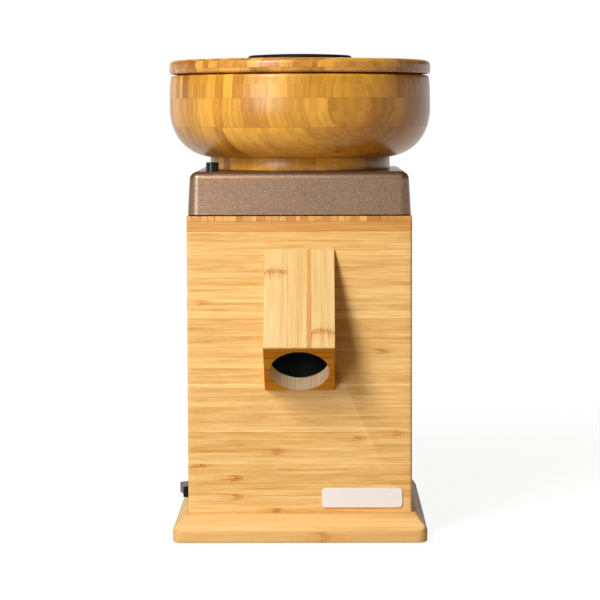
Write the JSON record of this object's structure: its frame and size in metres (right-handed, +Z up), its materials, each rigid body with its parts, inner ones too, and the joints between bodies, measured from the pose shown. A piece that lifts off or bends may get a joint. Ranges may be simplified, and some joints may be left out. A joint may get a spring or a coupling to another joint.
{
  "type": "electric grain mill",
  "caption": "Tabletop electric stone mill: bamboo box on a base board, bronze cap, turned wooden hopper bowl with lid, sloping spout block with a round mouth, rocker switch at the side.",
  "frame": {"origin": "point on the table straight below the shaft axis, at the middle of the base board", "axes": "+Z up along the shaft; -Y is the front, where the spout is; the switch is on the -X side"},
  "size_m": [0.2116, 0.2388, 0.381],
  "materials": {
    "bamboo_case": "oiled laminated bamboo",
    "bamboo_hopper": "turned laminated bamboo, oiled",
    "glue_block": "sawn",
    "dark_wood": "stained dark and waxed",
    "cap_paint": "bronze metallic, fine sparkle, semi-gloss",
    "black_plastic": "fine grain",
    "button_plastic": "smooth",
    "chamber_plastic": "moulded, glass filled",
    "light_plastic": "smooth",
    "capacitor_can": "smooth",
    "lead_sleeve": "insulated wire",
    "plate_metal": "satin, bare",
    "black_rubber": "moulded",
    "seal_rubber": "cut strip",
    "lip_rubber": "moulded",
    "bright_steel": "zinc plated",
    "black_screw": "blackened",
    "shaft_steel": "ground",
    "core_steel": "stamped laminations",
    "bearing_steel": "ground and polished",
    "cast_metal": "die cast",
    "copper_wire": "varnished",
    "brass": "machined",
    "mill_stone": "rough, bonded grit"
  },
  "bodies": {
    "case": {"base_board": "bamboo_case", "rubber_feet": "black_rubber", "foot_screws": "bright_steel", "front_panel": "bamboo_case", "back_panel": "bamboo_case", "left_panel": "bamboo_case", "right_panel": "bamboo_case", "corner_blocks": "glue_block", "case_screws": "bright_steel", "top_board": "bamboo_case", "cap_seal": "seal_rubber", "cap_shell": "cap_paint", "cap_screws": "bright_steel", "spout_block": "bamboo_case", "spout_screws": "bright_steel", "chute_liner": "black_plastic", "nameplate": "plate_metal", "vent_grilles": "black_plastic", "power_inlet": "black_plastic", "inlet_pins": "brass", "trim_screws": "black_screw", "switch_housing": "black_plastic", "internal_leads": "lead_sleeve", "run_capacitor": "capacitor_can", "capacitor_clip": "bright_steel", "motor_gasket": "black_rubber", "motor_bolts": "bright_steel", "upper_end_bell": "cast_metal", "lower_end_bell": "cast_metal", "through_bolts": "bright_steel", "stator_core": "core_steel", "stator_windings": "copper_wire", "bearing_outer_races": "bearing_steel", "milling_chamber": "chamber_plastic", "chamber_screws": "bright_steel", "thread_collar": "cast_metal", "shaft_seal": "lip_rubber", "pin_guide": "light_plastic"},
    "rotor": {"motor_shaft": "shaft_steel", "rotor_core": "core_steel", "rotor_cage": "cast_metal", "cooling_fan": "chamber_plastic", "bearing_inner_races": "bearing_steel", "stone_carrier": "shaft_steel", "carrier_nut": "brass", "lower_stone": "mill_stone", "sweeper_ring": "shaft_steel"},
    "ball_sets": {"bearing_balls": "bearing_steel"},
    "stop_ring": {"stop_ring": "brass"},
    "hopper": {"stone_holder": "cast_metal", "upper_stone": "mill_stone", "holder_screws": "bright_steel", "hopper_foot": "bamboo_hopper", "hopper_bowl": "bamboo_hopper", "throat_guard": "black_plastic"},
    "lid": {"lid": "bamboo_hopper", "lid_grip": "dark_wood"},
    "release_pin": {"release_pin": "button_plastic", "pin_spring": "bright_steel"},
    "rocker": {"switch_rocker": "button_plastic"}
  },
  "joints": [
    {"name": "motor_spin", "type": "hinge", "parent": "case", "child": "rotor", "pos_m": [0, 0, 0.2], "axis": [0, 0, 1], "continuous": true},
    {"name": "ball_roll", "type": "hinge", "parent": "case", "child": "ball_sets", "pos_m": [0, 0, 0.2], "axis": [0, 0, 1], "continuous": true},
    {"name": "hopper_turn", "type": "hinge", "parent": "case", "child": "stop_ring", "pos_m": [0, 0, 0.28], "axis": [0, 0, 1], "range_deg": [0, 320]},
    {"name": "hopper_rise", "type": "slide", "parent": "stop_ring", "child": "hopper", "axis": [0, 0, 1], "range_m": [0, 0.0027]},
    {"name": "lid_lift", "type": "slide", "parent": "hopper", "child": "lid", "axis": [0, 0, 1], "range_m": [0, 0.06]},
    {"name": "pin_press", "type": "slide", "parent": "case", "child": "release_pin", "axis": [0, 0, -1], "range_m": [0, 0.005], "stiffness_N_per_m": 400, "springref_m": -0.005, "deforming": ["pin_spring"]},
    {"name": "rocker_tilt", "type": "hinge", "parent": "case", "child": "rocker", "pos_m": [-0.086, -0.04, 0.032], "axis": [0, 0, -1], "range_deg": [0, 20]}
  ],
  "couplings": [
    {"joint": "ball_roll", "follows": "motor_spin", "ratio": 0.38182},
    {"joint": "hopper_rise", "follows": "hopper_turn", "m_per_rad": 0.00047746}
  ]
}
